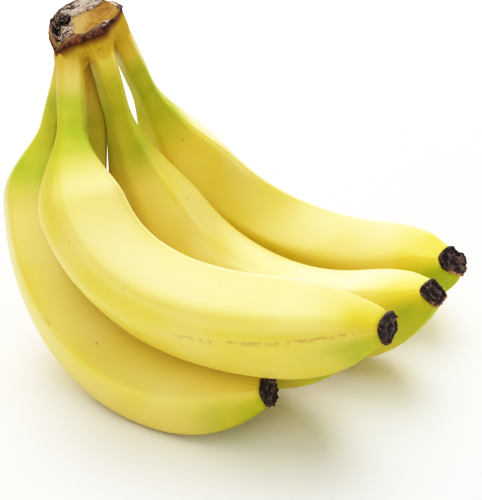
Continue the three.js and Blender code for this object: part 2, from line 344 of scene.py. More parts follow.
def banana_skin(place, banana):
    """Five-sided rings round the spine. The radius is the profile's times the ring's reach times one
    plus a little smooth noise, and the last rings pucker and turn in. The mark low is 0 on the faces
    that look up and 1 on those that look down."""
    distances = skin_rows(banana)
    from_root = distances[:, None]
    from_tip = banana["length"] - from_root
    shares = np.clip(distances / banana["length"], 0.0, 1.0)
    angles, reach = section(banana, shares, FACE_COLUMNS)
    points, forward, towards, across = spine(banana, distances)
    ray = round_ring(angles, towards[:, None], across)
    lip = smooth(1.0 - from_tip / LIP_DEPTH) ** 2
    puckers = np.cos(PUCKER_COUNT * angles + banana["seed"])
    puckers = puckers * bump(from_tip, PUCKER_PLACE, PUCKER_WIDTH)
    flutes = stem_flutes(angles, from_root)
    outline = SKIN_SHARE * radius_at(banana, distances)[:, None] * reach
    outline = outline - LIP_TURN * lip + PUCKER_RISE * puckers + FLUTE_RISE * flutes
    grid = points[:, None, :] + outline[..., None] * ray
    uneven = UNEVENNESS * lattice_noise(grid, UNEVEN_CELL, banana["seed"], 2)
    aside = (outline * (1.0 + uneven))[..., None] * ray
    carried = tip_lean(banana, aside) * smooth(1.0 - from_tip / LEAN_LENGTH)
    grid = points[:, None, :] + aside + carried[..., None] * forward[:, None, :]
    grid[..., 2] = np.maximum(grid[..., 2], 0.0)

    ochre, green = stem_colours(banana, from_root)
    tip_green = 1.0 - step(from_tip, *TIP_GREEN_FADE)
    marks = {
        "woody": ochre,
        "neck": green,
        "tip": tip_green,
        # low also places the peel's painted cream highlight, on the faces that look up
        "low": smooth((LOOKS_UP - ray[..., 2]) / LOOKS_TURN),
        "worn": rubbing(banana, shares, angles.shape[1]),
        "around_a": np.cos(angles),
        "around_b": np.sin(angles),
        "down": from_root * MM,
    }
    return closed_mesh("skin_" + place, grid, marks)


# ---- blossom end

END_COLUMNS = 40  # a face
END_ROWS = 120
# Out along the spine and wide across it, in tip radii, from the seat to the nub.
END_PROFILE = np.array([
    (-0.10, 0.10), (-0.10, 0.82), (-0.02, 1.00), (0.12, 1.05), (0.24, 1.04), (0.34, 0.94),
    (0.32, 0.80), (0.25, 0.66), (0.21, 0.50), (0.27, 0.35), (0.37, 0.22), (0.42, 0.10), (0.43, 0.02),
])
# Steps and bells along the profile, from 0 at the seat to 1 at the nub.
ROUGH_STEP = (0.08, 0.10)
SEAT_STEP = (0.38, 0.10)
FACE_STEP = (0.44, 0.08)
PUCKER_BELL = (0.30, 0.10)
RIM_BELL = (0.41, 0.07)
RING_FOLDS = 3.4  # wrinkles between the rim and the nub
FOLD_RISE = 0.24
SIDE_PUCKERS = 17
SIDE_PUCKER_RISE = 0.12
COARSE_CELL, FINE_CELL = 2.6, 0.9
# How far coarse and fine noise move the surface outward and forward.
ROUGH_OUT, ROUGH_LIFT = (0.26, 0.16), (0.26, 0.26)
RIM_OUT, RIM_LIFT = (0.20, 0.40), (0.50, 0.40)


def blossom_end(place, banana):
    """A dried stub: the profile turned round the spine on the tip's five-sided ring. Its face has
    wrinkles in rings, a sine of the place along the profile, bent by noise. Its side puckers, its
    rim is torn by finer noise, and it leans as the tip does."""
    radius = banana["tip_radius"]
    share = np.linspace(0.0, 1.0, END_ROWS)
    stations = np.linspace(0.0, 1.0, len(END_PROFILE))
    out = np.interp(share, stations, END_PROFILE[:, 0])[:, None] * radius * banana["stub"]
    wide = np.interp(share, stations, END_PROFILE[:, 1])[:, None] * radius
    points, forward, towards, across = spine(banana, np.array([banana["length"]]))
    angles, reach = section(banana, np.array([1.0]), END_COLUMNS)
    ray = round_ring(angles[0], towards, across)
    side = (wide * reach)[..., None] * ray
    grid = points[0] + (out + tip_lean(banana, side))[..., None] * forward[0] + side

    coarse = lattice_noise(grid, COARSE_CELL, banana["seed"] + 5, 2)
    fine = lattice_noise(grid, FINE_CELL, banana["seed"] + 9, 2)

    def noise(heights):
        return heights[0] * coarse + heights[1] * fine

    rough = step(share, *ROUGH_STEP)[:, None]
    face = step(share, *FACE_STEP)[:, None]
    rim = bump(share, *RIM_BELL)[:, None]
    folds = np.sin(2.0 * np.pi * RING_FOLDS * share[:, None] + 3.4 * coarse + 2.4 * fine) * face
    puckers = np.cos(SIDE_PUCKERS * angles + 3.0 * coarse) * bump(share, *PUCKER_BELL)[:, None]
    outward = rough * noise(ROUGH_OUT) + rim * noise(RIM_OUT) + SIDE_PUCKER_RISE * puckers
    grid = grid + (outward * np.clip(wide / radius, 0.0, 1.0))[..., None] * ray
    lift = rough * noise(ROUGH_LIFT) + FOLD_RISE * folds + rim * noise(RIM_LIFT)
    grid = grid + lift[..., None] * forward[0]
    seat = 1.0 - step(share, *SEAT_STEP)[:, None]
    looks_down = smooth((-ray[:, 2] - 0.1) / 0.6)[None, :]
    marks = {
        "fold": 0.5 + 0.5 * np.clip(0.6 * folds + 0.6 * fine + 0.3 * coarse, -1.0, 1.0),
        "seat": banana["tan"] * seat * looks_down,
    }
    return closed_mesh("dried_end_" + place, grid, marks)


# ---- crown

CROWN_CENTRE = np.array([-59.9, 32.1, 133.5])  # middle of the cut
CROWN_LEAN = np.array([-0.34, -0.10, 1.0])  # the way the cut looks
CROWN_HEADING = 38.0  # of the cut's long way
CROWN_COLUMNS = 480
SAMPLE_REACH, SAMPLES = 24.0, 121  # along a line out from the axis
# Outlines on the cut, as the reach from their own middle by angle from the long way.
CUT = dict(
    middle=(0.0, 0.0),
    angles=(0, 35, 60, 85, 105, 125, 163, 185, 204, 225, 245, 262, 282, 303, 316, 335),
    reaches=(11.9, 12.4, 11.8, 13.2, 13.8, 13.6, 13.8, 14.6,
             15.0, 13.2, 12.9, 12.0, 12.6, 14.3, 14.5, 12.9),
)
PATCH = dict(  # clean-cut and golden
    middle=(1.6, -3.8),
    angles=(0, 26, 29, 57, 89, 111, 144, 191, 205, 225, 246, 276, 308, 324, 346),
    reaches=(11.2, 11.8, 9.4, 6.8, 8.6, 8.9, 8.0, 10.9, 10.8, 10.7, 8.5, 8.4, 10.5, 11.0, 11.0),
)
HOLLOW = dict(  # dark and torn
    middle=(-6.8, 5.0),
    angles=(26, 54, 66, 94, 158, 200, 225, 246, 295, 352),
    reaches=(7.2, 8.7, 7.5, 3.8, 4.2, 6.5, 9.3, 4.4, 3.9, 4.2),
)
HOLLOW_DEPTH = 3.4
HOLLOW_WALL = (0.45, 0.6)
LEFT_SAG = 3.6  # the cut's left end hangs down
SAG_STEP, SAG_BELL = (8.0, 6.5), (180.0, 15.0)  # by distance and by angle
CUT_TOP = 0.1
# How far the cut rounds down at its edge, by angle.
ROUND_ANGLES = (60, 150, 210, 300, 345)
ROUND_DROPS = (0.1, 0.5, 0.7, 0.7, 0.2)
# The bar below the cut: its reach as a share of the cut's, by depth.
BAR_DEPTHS = (0.0, 1.0, 2.6, 4.6, 6.6, 9.0, 12.0, 16.0)
BAR_SHARES = (0.98, 0.98, 0.95, 0.89, 0.81, 0.70, 0.50, 0.30)
# The flare round a stem's top: its wall by the distance down the stem.
FLARE_DISTANCES = (-12.0, -5.0, -1.0, 3.0, 8.0)
FLARE_WALLS = (0.4, 1.1, 0.9, 0.35, -0.9)
FLARE_BLEND = 1.1
CROWN_DEPTH = 14.5  # how far down the flares run
CROWN_TOP = 137.5
EDGE_SOFTENING, WALL_SOFTENING = 12, 4  # rounds
CUT_RINGS, RIM_RINGS, FLARE_RINGS, UNDER_RINGS = 96, 60, 44, 8
RIM_RUN = 0.40  # of the side's depth, for the closer rings of the rim
WALL_LEVELS = 117
# Depth of the callus rim below the cut's edge, by angle.
RIM_ANGLES = (0, 60, 120, 180, 210, 225, 240, 270, 300, 330)
RIM_DEPTHS = (1.3, 1.8, 2.2, 0.9, 1.4, 2.7, 1.8, 1.9, 1.3, 1.0)
RIM_SWELL, RIM_LUMP, RIM_GRAIN = 0.45, 0.55, 0.28
RIM_FADE = 0.35
RAGGEDNESS = 0.6
WAVE_RISE = 0.12
WAVE_STEP = (8.0, 3.0)
NUB_BELL = (329.0, 5.0)  # angle and width of a hard black nub on the rim
NUB_DEPTH = (0.5, 1.6)
NUB_REACH, NUB_RISE = 1.0, 0.5
# painted shade: the flares' peel is browned for this far below the callus rim, under its overhang
UNDER_RIM_SHADE_STEP = (0.3, 4.6)
# Noise on the crown: cell, seed and octaves.
COARSE_NOISE = (4.2, 3, 2)
FIBRE_NOISE = ((1.8, 0.55, 0.55), 29, 3)
LUMP_NOISE = (1.9, 13, 2)
RAGGED_NOISE = (3.0, 41, 2)
GRAIN_NOISE = (0.9, 61, 2)
WAVE_NOISE = ((2.2, 2.2, 6.0), 53, 2)
FIBRE_TURN = np.array([[0.95, -0.3, 0.0], [0.3, 0.95, 0.0], [0.0, 0.0, 1.0]])
# On the cut: steps and bells by share of an outline or by angle.
PATCH_STEP, HOLLOW_STEP = (0.96, 0.06), (0.80, 0.35)
OUTER_ARC = ((8.0, 15.0), (128.0, 15.0))
LEFT_ARC = ((92.0, 12.0), (222.0, 10.0))
CHAR_STEP, CHAR_LUMPS, CHAR_DARKNESS = (0.78, 0.12), (-0.45, 0.5), 0.85
LIP_BELL, LIP_RISE = (0.95, 0.03), 0.6
PALE_LIP = (138.0, 12.0)
ROUND_STEP = (0.88, 0.12)
TORN_RISE, TORN_FIBRE, TORN_LUMP = 0.25, 0.45, 0.30
PATCH_SINK = 0.25
OUTER_STEP, OUTER_RISE, OUTER_LUMP = (0.70, 0.15), 0.7, 0.5
PATCH_SLOPES = (-0.055, 0.06)
GREY_MIDDLE, GREY_SLOPES = (-2.5, 4.0), (0.13, 0.02)


def crown_axes():
    """The cut's long way, its wide way and the way it looks."""
    up = unit(CROWN_LEAN)
    heading = np.radians(CROWN_HEADING)
    long = np.array([np.cos(heading), np.sin(heading), 0.0])
    long = unit(long - up * long.dot(up))
    return long, np.cross(up, long), up


LONG, WIDE, UP = crown_axes()


def share_of(shape, u, v):
    """Distance from a shape's middle as a share of its reach that way: 1 on its outline."""
    du, dv = u - shape["middle"][0], v - shape["middle"][1]
    angle = np.degrees(np.arctan2(dv, du)) % 360.0
    return np.hypot(du, dv) / np.interp(angle, shape["angles"], shape["reaches"], period=360.0)


def cut_height(u, v):
    """Height of the cut above its plane. The left end sags, and the hollow is a smooth bowl."""
    angle = np.degrees(np.arctan2(v, u)) % 360.0
    sag = LEFT_SAG * step(np.hypot(u, v), *SAG_STEP) * bump(angle, *SAG_BELL)
    bowl = 1.0 - step(share_of(HOLLOW, u, v), *HOLLOW_WALL)
    return CUT_TOP - sag - HOLLOW_DEPTH * bowl


def crown_reaches(depths, angles, cut_reach):
    """How far the crown reaches from its axis, by depth and angle. A sample's distance from the bar
    is its reach less the bar's, and from a stem top its distance from the stem's line less the
    radius and the wall. They join in a smooth minimum: minus the log of the sum of their negative
    exponentials. The crown ends past the last sample inside."""
    samples = np.linspace(0.0, SAMPLE_REACH, SAMPLES)
    ray = round_ring(angles, LONG, WIDE)
    bar = samples - np.interp(depths, BAR_DEPTHS, BAR_SHARES)[:, None, None] * cut_reach[:, None]
    total = np.exp(-bar / FLARE_BLEND)
    axis = CROWN_CENTRE - depths[:, None] * UP
    places = axis[:, None, None, :] + samples[:, None] * ray[:, None, :]
    for banana in BANANAS.values():
        along, _, _ = bend_plane(banana)
        apart = places - np.array(banana["root"])
        down = apart @ along
        aside = np.sqrt(np.maximum((apart ** 2).sum(axis=-1) - down ** 2, 0.0))
        stem = aside - banana["stem_radius"] - np.interp(down, FLARE_DISTANCES, FLARE_WALLS)
        total += np.exp(-stem / FLARE_BLEND)
    distance = -FLARE_BLEND * np.log(total)
    last = SAMPLES - 1 - np.argmax(distance[..., ::-1] < 0.0, axis=-1)
    last = np.clip(last, 0, SAMPLES - 2)
    pair = np.take_along_axis(distance, last[..., None] + np.arange(2), -1)
    part = np.clip(pair[..., 0] / (pair[..., 0] - pair[..., 1] - 1e-9), 0.0, 1.0)
    return samples[1] * (last + part)


def soften(rows):
    """Each value becomes the mean of itself and its neighbours round the ring, weighed 1, 2, 1."""
    return (np.roll(rows, 1, axis=1) + 2.0 * rows + np.roll(rows, -1, axis=1)) / 4.0


def stem_marks(grid):
    """Each point's marks on its nearest stem: its colours, which way round it and how far down."""
    names = ("woody", "neck", "around_a", "around_b", "down")
    nearest = np.full(grid.shape[:-1], np.inf)
    marks = np.zeros((len(names),) + nearest.shape)
    for banana in BANANAS.values():
        along, inward, across = bend_plane(banana)
        apart = grid - np.array(banana["root"])
        a, b = apart @ inward, apart @ across
        radius = np.hypot(a, b) + 1e-6
        gap = radius - banana["stem_radius"]
        closer = gap < nearest
        nearest = np.minimum(gap, nearest)
        down = apart @ along
        here = np.stack([*stem_colours(banana, down), a / radius, b / radius, down * MM])
        marks = np.where(closer, here, marks)
    return dict(zip(names, marks))


def drift(u, v, middle, slopes):
    """Half at the middle, and more or less across the cut by the two slopes."""
    return smooth(0.5 + slopes[0] * (u - middle[0]) + slopes[1] * (v - middle[1]))


def crown_sheet(angles):
    """The crown without its relief: rings out across the cut, down the rim and the flares, and in
    underneath. share is a ring's share of the way out on the cut, and 2 past it. reach and depth
    are a point's, from the axis and below the cut's plane. By angle, top is the depth at which the
    side starts and rounding is how far the cut's edge has rounded down."""
    degrees = np.degrees(angles)
    cut_reach = np.interp(degrees, CUT["angles"], CUT["reaches"], period=360.0)
    for _ in range(EDGE_SOFTENING):
        cut_reach = soften(cut_reach[None])[0]
    edge_height = cut_height(0.98 * cut_reach * np.cos(angles), 0.98 * cut_reach * np.sin(angles))
    rounding = np.interp(degrees, ROUND_ANGLES, ROUND_DROPS, period=360.0)
    top = rounding - edge_height
    levels = np.linspace(0.0, CROWN_DEPTH, WALL_LEVELS)
    walls = crown_reaches(levels, angles, cut_reach)
    for _ in range(WALL_SOFTENING):
        walls = soften(walls)

    across = np.linspace(0.02, 1.0, CUT_RINGS)
    down = np.concatenate([
        np.linspace(0.012, RIM_RUN, RIM_RINGS),
        np.linspace(RIM_RUN + 0.02, 1.0, FLARE_RINGS),
    ])[:, None]
    under = np.linspace(0.9, 0.04, UNDER_RINGS)[:, None]
    side_depth = top + down * (CROWN_DEPTH - top)
    level = side_depth / levels[1]
    below = np.clip(np.floor(level).astype(int), 0, len(levels) - 2)
    columns = np.arange(CROWN_COLUMNS)
    part = level - below
    side = walls[below, columns] * (1.0 - part) + walls[below + 1, columns] * part
    reach = np.concatenate([across[:, None] * side[0], side, under * side[-1]])
    share = np.concatenate([across, np.full(len(down) + len(under), 2.0)])[:, None]
    on_plane = np.zeros((len(across), CROWN_COLUMNS))
    at_bottom = np.full((len(under), CROWN_COLUMNS), CROWN_DEPTH)
    depth = np.concatenate([on_plane, side_depth, at_bottom])
    return share, reach, depth, top, rounding


def cut_finish(degrees, share, u, v, rounding, lumps):
    """The cut's marks and its height: a clean patch, a dark hollow, and torn wood everywhere else,
    which is charred on the outer side. The left edge has a raised lip."""
    on_cut = 1.0 * (share < 1.5)
    sheet = np.stack([u, v, 0.0 * u], axis=-1)
    coarse = lattice_noise(sheet, *COARSE_NOISE)
    fibres = lattice_noise(sheet @ FIBRE_TURN.T, *FIBRE_NOISE)
    patch_edge = share_of(PATCH, u, v) + 0.04 * coarse + 0.03 * lumps
    patch = on_cut * (1.0 - step(patch_edge, *PATCH_STEP))
    hollow_edge = share_of(HOLLOW, u, v) + 0.12 * coarse + 0.08 * lumps
    hollow = on_cut * (1.0 - step(hollow_edge, *HOLLOW_STEP)) * (1.0 - patch)
    outer = between(degrees, *OUTER_ARC)
    charred = on_cut * outer * step(share + 0.10 * coarse, *CHAR_STEP) * step(lumps, *CHAR_LUMPS)
    hollow = np.maximum(hollow, CHAR_DARKNESS * charred)
    torn = on_cut * (1.0 - patch)
    lip = on_cut * bump(share, *LIP_BELL) * between(degrees, *LEFT_ARC)

    height = cut_height(u, v) - rounding * step(share, *ROUND_STEP) ** 2
    roughness = TORN_RISE + TORN_FIBRE * np.maximum(fibres, 0.0) + TORN_LUMP * lumps
    height = height + torn * (1.0 - 0.6 * hollow) * roughness - PATCH_SINK * patch
    height = height + LIP_RISE * lip * (1.0 + lumps)
    height = height + on_cut * outer * step(share, *OUTER_STEP) * (OUTER_RISE + OUTER_LUMP * lumps)
    marks = {
        "patch": patch,
        "patch_tone": drift(u, v, PATCH["middle"], PATCH_SLOPES),
        "hollow": hollow,
        "torn": torn,
        "grey": drift(u, v, GREY_MIDDLE, GREY_SLOPES),
        "fibres": 0.5 + 0.5 * fibres,
        "lip": lip * step(degrees, *PALE_LIP),
        "lumps": 0.5 + 0.5 * lumps,
    }
    return height, marks


def crown():
    """The crown's sheet with its relief: the cut's height, a lumpy callus rim with a ragged lower
    edge and a hard nub, and smooth flares below it."""
    angles = np.linspace(0.0, 2.0 * np.pi, CROWN_COLUMNS, endpoint=False)
    degrees = np.degrees(angles)
    share, reach, depth, top, rounding = crown_sheet(angles)
    u, v = reach * np.cos(angles), reach * np.sin(angles)
    flat = CROWN_CENTRE + u[..., None] * LONG + v[..., None] * WIDE
    lumps = lattice_noise(flat, *LUMP_NOISE)
    height, cut_marks = cut_finish(degrees, share, u, v, rounding, lumps)

    on_side = 1.0 * (share > 1.5)
    from_edge = depth - top
    rise = np.where(share < 1.5, height, -depth)
    sheet = np.stack([u, v, 0.0 * u], axis=-1)
    ragged = np.interp(degrees, RIM_ANGLES, RIM_DEPTHS, period=360.0)
    ragged = ragged + RAGGEDNESS * lattice_noise(sheet, *RAGGED_NOISE)
    below_rim = from_edge - ragged
    callus = on_side * (1.0 - smooth(below_rim / RIM_FADE))
    flare = on_side * smooth((below_rim + 0.1) / RIM_FADE)
    grain = lattice_noise(flat + rise[..., None] * UP, *GRAIN_NOISE)
    push = smooth(from_edge / 0.7) * callus * (RIM_SWELL + RIM_LUMP * lumps + RIM_GRAIN * grain)
    waves = lattice_noise(flat, *WAVE_NOISE) * (1.0 - step(depth, *WAVE_STEP))
    push = push + WAVE_RISE * flare * waves
    nub = bump(degrees, *NUB_BELL) * bump(from_edge, *NUB_DEPTH) * smooth((share - 0.90) / 0.06)
    push = push + NUB_REACH * nub
    rise = rise + NUB_RISE * nub * (1.0 - on_side)
    grid = flat + rise[..., None] * UP + push[..., None] * round_ring(angles, LONG, WIDE)
    grid[..., 2] = np.minimum(grid[..., 2], CROWN_TOP)
    marks = {
        **cut_marks,
        "rim_edge": np.maximum(on_side * bump(below_rim, 0.0, 0.30), smooth(2.0 * nub)),
        "flare": flare,
        # painted shade: brown on the flares just below the callus rim
        "under_rim_shade": 1.0 - step(below_rim, *UNDER_RIM_SHADE_STEP),
        **stem_marks(grid),
    }
    backwards = {mark: np.broadcast_to(values, u.shape)[:, ::-1] for mark, values in marks.items()}
    return closed_mesh("crown_bar", grid[:, ::-1], backwards)


SHRED_ROWS = 12
SHRED_SIDES = 6
SHRED_SEED = 97
SHRED_LIMIT = 0.95  # of the cut's reach
SHRED_LIFT, SHRED_SINK = 0.25, 0.6  # of the path, and of its root back into the crown
# Torn fibres, a kind a row: how many, the line on the cut that they stand by and how far off it,
# the way they run along the cut, across it and up, how far they turn from it at the root and at
# the end, and their ranges of length, radius and paleness.
SHREDS = (
    (120, (-5.4, 0.6), (-9.0, -4.4), 0.5, (-0.98, 0.14, 0.03), 0.22, 0.50,
     (3.0, 8.0), (0.10, 0.22), (0.0, 1.0)),
    (90, (-8.5, 10.4), (3.0, 12.0), 0.8, (-0.1, 0.2, 0.7), 0.8, 1.3,
     (0.9, 2.4), (0.10, 0.28), (0.0, 0.7)),
    (70, (-1.7, 6.4), (9.0, 3.4), 1.4, (0.7, 0.0, 0.12), 0.6, 1.3,
     (0.5, 1.4), (0.08, 0.18), (0.85, 1.0)),
    (60, (-3.4, 3.2), (-8.6, -5.4), 0.5, (-0.5, 0.2, 0.45), 0.8, 1.2,
     (0.7, 1.8), (0.08, 0.18), (0.5, 1.0)),
    (90, (-9.5, 5.0), (-3.0, 10.0), 1.5, (0.1, 0.3, 0.3), 1.0, 1.4,
     (0.8, 2.2), (0.07, 0.18), (0.0, 0.8)),
)


def shreds(row, seed):
    """Thin tubes that taper as the root of what is left of their length. Their run along the cut
    turns evenly from a first direction to a second, and their height is the cut's plus their own
    climb. They stop short of the cut's edge."""
    random = np.random.default_rng(seed)
    count, start, end, spread, way, stray, curl, lengths, radii, paleness = row
    along = random.uniform(0.0, 1.0, (count, 1))
    root = start + along * np.subtract(end, start) + random.normal(0.0, spread, (count, 2))
    first = unit(way + stray * random.normal(0.0, 1.0, (count, 3)))
    second = unit(first + curl * random.normal(0.0, 1.0, (count, 3)))
    first[:, 2], second[:, 2] = np.abs(first[:, 2]), np.abs(second[:, 2])
    length = random.uniform(*lengths, (count, 1, 1))
    share = np.linspace(0.0, 1.0, SHRED_ROWS)[None, :, None]
    run = length * (share * first[:, None] + 0.5 * share ** 2 * (second - first)[:, None])
    u, v = root[:, None, 0] + run[..., 0], root[:, None, 1] + run[..., 1]
    within = np.minimum(1.0, SHRED_LIMIT / np.maximum(share_of(CUT, u, v), 0.01))
    u, v = u * within, v * within
    height = cut_height(u, v) + SHRED_LIFT + run[..., 2] - SHRED_SINK * (share[..., 0] < 0.01)
    path = CROWN_CENTRE + u[..., None] * LONG + v[..., None] * WIDE + height[..., None] * UP
    forward = unit(np.gradient(path, axis=1))
    aside = unit(np.cross(forward, unit(0.3 * LONG - WIDE + 0.4 * UP)))
    over_it = np.cross(forward, aside)
    radius = random.uniform(*radii, (count, 1, 1)) * np.sqrt(1.02 - share)
    angles = np.linspace(0.0, 2.0 * np.pi, SHRED_SIDES, endpoint=False)
    ray = round_ring(angles, aside[:, :, None], over_it[:, :, None])
    grids = path[:, :, None] + radius[..., None] * ray
    grids[..., 2] = np.minimum(grids[..., 2], CROWN_TOP)
    pale = random.uniform(*paleness, (count, 1, 1))
    return grids, np.broadcast_to(pale, grids.shape[:3])


def crown_shreds():
    """All the torn fibres of the cut in one piece."""
    made = [shreds(row, SHRED_SEED + number) for number, row in enumerate(SHREDS)]
    grids = np.concatenate([grid for grid, _ in made])
    return grid_mesh("crown_shreds", grids, {"pale": np.concatenate([pale for _, pale in made])})


# ---- node building

class Nodes:
    """Short calls for a node tree."""

    def __init__(self, tree):
        self.tree = tree

    def add(self, kind, settings=None, **inputs):
        node = self.tree.nodes.new("ShaderNode" + kind)
        for key, value in (settings or {}).items():
            setattr(node, key, value)
        for key, value in inputs.items():
            self.put(node.inputs[key.replace("_", " ")], value)
        return node

    def put(self, socket, value):
        if isinstance(value, bpy.types.NodeSocket):
            self.tree.links.new(value, socket)
        else:
            socket.default_value = (*value, 1.0) if isinstance(value, tuple) else value

    def mark(self, name):
        return self.add("Attribute", {"attribute_name": name}).outputs["Fac"]

    def math(self, operation, a, b):
        node = self.add("Math", {"operation": operation})
        self.put(node.inputs[0], a)
        self.put(node.inputs[1], b)
        return node.outputs[0]

    def times(self, *values):
        product = values[0]
        for value in values[1:]:
            product = self.math("MULTIPLY", product, value)
        return product

    def mix(self, share, a, b):
        node = self.add("Mix", {"data_type": "RGBA"})
        for name, value in (("Factor_Float", share), ("A_Color", a), ("B_Color", b)):
            self.put(next(s for s in node.inputs if s.identifier == name), value)
        return next(s for s in node.outputs if s.identifier == "Result_Color")

    def span(self, value, low, high, to_low=0.0, to_high=1.0):
        node = self.add("MapRange", {"interpolation_type": "SMOOTHSTEP"}, Value=value)
        limits = {"From Min": low, "From Max": high, "To Min": to_low, "To Max": to_high}
        for name, number in limits.items():
            self.put(node.inputs[name], number)
        return node.outputs["Result"]

    def noise(self, scale, detail=2.0, vector=None, rough=0.5):
        node = self.add("TexNoise", None, Scale=scale, Detail=detail, Roughness=rough)
        if vector is None:
            vector = self.add("TexCoord").outputs["Object"]
        self.put(node.inputs["Vector"], vector)
        return node.outputs["Fac"]

    def vector(self, x, y, z):
        return self.add("CombineXYZ", None, X=x, Y=y, Z=z).outputs[0]

    def bump(self, height, distance, strength):
        node = self.add("Bump", None, Height=height, Distance=distance, Strength=strength)
        return node.outputs["Normal"]

    def group(self, tree, **inputs):
        node = self.tree.nodes.new("ShaderNodeGroup")
        node.node_tree = tree
        for key, value in inputs.items():
            self.put(node.inputs[key], value)
        return node.outputs


def node_group(name, inputs, outputs):
    """An empty group with its sockets, its node builder, and its input and output nodes."""
    tree = bpy.data.node_groups.new(name, "ShaderNodeTree")
    for socket, kind in inputs.items():
        tree.interface.new_socket(socket, in_out="INPUT", socket_type="NodeSocket" + kind)
    for socket, kind in outputs.items():
        tree.interface.new_socket(socket, in_out="OUTPUT", socket_type="NodeSocket" + kind)
    given = tree.nodes.new("NodeGroupInput").outputs
    result = tree.nodes.new("NodeGroupOutput").inputs
    return tree, Nodes(tree), given, result


def material(name, **fixed):
    made = bpy.data.materials.new(name)
    made.use_nodes = True
    shader = made.node_tree.nodes["Principled BSDF"]
    for socket, value in fixed.items():
        shader.inputs[socket.replace("_", " ")].default_value = value
    return made, Nodes(made.node_tree), shader.inputs


# ---- shared effects

PALE_YELLOW = (0.81, 0.645, 0.13)
DEEP_YELLOW = (0.77, 0.61, 0.040)
# painted highlight: cream that stands in for the gloss on the faces that look up
PAINTED_HIGHLIGHT_CREAM = (0.83, 0.71, 0.33)
LEAF_GREEN = (0.37, 0.455, 0.012)
OCHRE = (0.57, 0.385, 0.030)
RUB_BROWN = (0.45, 0.21, 0.02)
# Cells per metre of the peel's patterns.
TINT_DRIFT, GREEN_DRIFT = 26.0, 60.0
SPECKS, SPECK_CHOICE, RUB_BREAKS, PORES = 150.0, 310.0, 330.0, 900.0


def peel_tint_group():
    """Peel: yellow that drifts between pale and deep, a painted cream highlight on the faces that look
    up, green on the neck and the tip, ochre where the stem meets the crown with streaks down it, tiny
    brown specks and brown rubbed ridges."""
    inputs = {key: "Float" for key in ("Woody", "Neck", "Tip", "Low", "Worn")}
    inputs["Around"] = "Vector"
    outputs = {"Color": "Color", "Height": "Float", "Wax": "Float"}
    tree, n, given, result = node_group("peel_tint", inputs, outputs)
    colour = n.mix(n.span(n.noise(TINT_DRIFT), 0.38, 0.64), PALE_YELLOW, DEEP_YELLOW)
    # painted highlight: cream laid on the faces that look up, away from the tip
    painted_highlight = n.times(n.span(given["Low"], 0.0, 0.25, 0.22, 0.0), n.math("SUBTRACT", 1.0, given["Tip"]))
    colour = n.mix(painted_highlight, colour, PAINTED_HIGHLIGHT_CREAM)
    streaks = n.noise(1.0, 3.0, given["Around"], 0.6)
    uneven = n.span(n.noise(GREEN_DRIFT), 0.30, 0.70, 0.55, 1.0)
    green = n.times(n.math("MAXIMUM", given["Neck"], n.times(given["Tip"], given["Low"])), uneven)
    colour = n.mix(n.times(green, 0.88), colour, LEAF_GREEN)
    colour = n.mix(n.times(given["Woody"], n.span(streaks, 0.25, 0.7, 0.65, 1.0)), colour, OCHRE)
    cells = n.add("TexVoronoi", None, Scale=SPECKS, Randomness=1.0)
    n.put(cells.inputs["Vector"], n.add("TexCoord").outputs["Object"])
    speck = n.math("SUBTRACT", 1.0, n.span(cells.outputs["Distance"], 0.05, 0.11))
    chosen = n.span(n.noise(SPECK_CHOICE, 0.0), 0.62, 0.66)
    colour = n.mix(n.times(speck, chosen, 0.7), colour, RUB_BROWN)
    broken = n.span(n.noise(RUB_BREAKS, 3.0), 0.42, 0.60)
    colour = n.mix(n.times(given["Worn"], broken, 0.6), colour, RUB_BROWN)
    n.put(result["Color"], colour)
    pores = n.noise(PORES)
    height = n.math("ADD", n.times(pores, 0.35), n.times(streaks, given["Woody"], 0.3))
    n.put(result["Height"], height)
    bare = n.math("MAXIMUM", given["Woody"], n.times(given["Neck"], 0.95))
    bare = n.math("MAXIMUM", bare, n.times(given["Tip"], n.span(given["Low"], 0.0, 1.0, 0.7, 0.95)))
    n.put(result["Wax"], n.math("SUBTRACT", 1.0, bare))
    return tree


def dry_fibre_group():
    """Dry tissue: dark to light along thin fibres, broken by blotches. The fibres are its height."""
    tree, n, given, result = node_group(
        "dry_fibre",
        {"Dark": "Color", "Light": "Color", "Share": "Float", "Scale": "Float"},
        {"Color": "Color", "Height": "Float"},
    )
    strand = n.noise(given["Scale"], 4.0, rough=0.65)
    blotch = n.noise(n.times(given["Scale"], 0.3))
    level = n.math("ADD", n.times(strand, 0.65), n.times(blotch, 0.35))
    level = n.math("ADD", level, n.math("SUBTRACT", given["Share"], 0.5))
    n.put(result["Color"], n.mix(n.span(level, 0.36, 0.68), given["Dark"], given["Light"]))
    n.put(result["Height"], strand)
    return tree


PEEL_TINT = peel_tint_group()
DRY_FIBRE = dry_fibre_group()


# ---- materials

# Dry tissues: their dark and light ends, and their strands per metre.
BARK = dict(Dark=(0.045, 0.014, 0.009), Light=(0.29, 0.120, 0.050), Scale=1500.0)
CLEAN_WOOD = dict(Dark=(0.22, 0.090, 0.010), Light=(0.40, 0.235, 0.036), Scale=600.0, Share=0.57)
WISPS = dict(Dark=(0.13, 0.085, 0.065), Light=(0.56, 0.47, 0.40), Scale=1900.0)
DARK_HOLLOW = dict(Dark=(0.010, 0.004, 0.006), Light=(0.12, 0.07, 0.055), Scale=1300.0)
STRANDS = dict(Dark=(0.035, 0.018, 0.014), Light=(0.76, 0.62, 0.50), Scale=1400.0)
HUSK = dict(Dark=(0.030, 0.014, 0.014), Light=(0.27, 0.18, 0.15), Scale=2400.0)
WOOD_BLOOM = (0.47, 0.33, 0.12)
TORN_BROWN = (0.13, 0.05, 0.025)
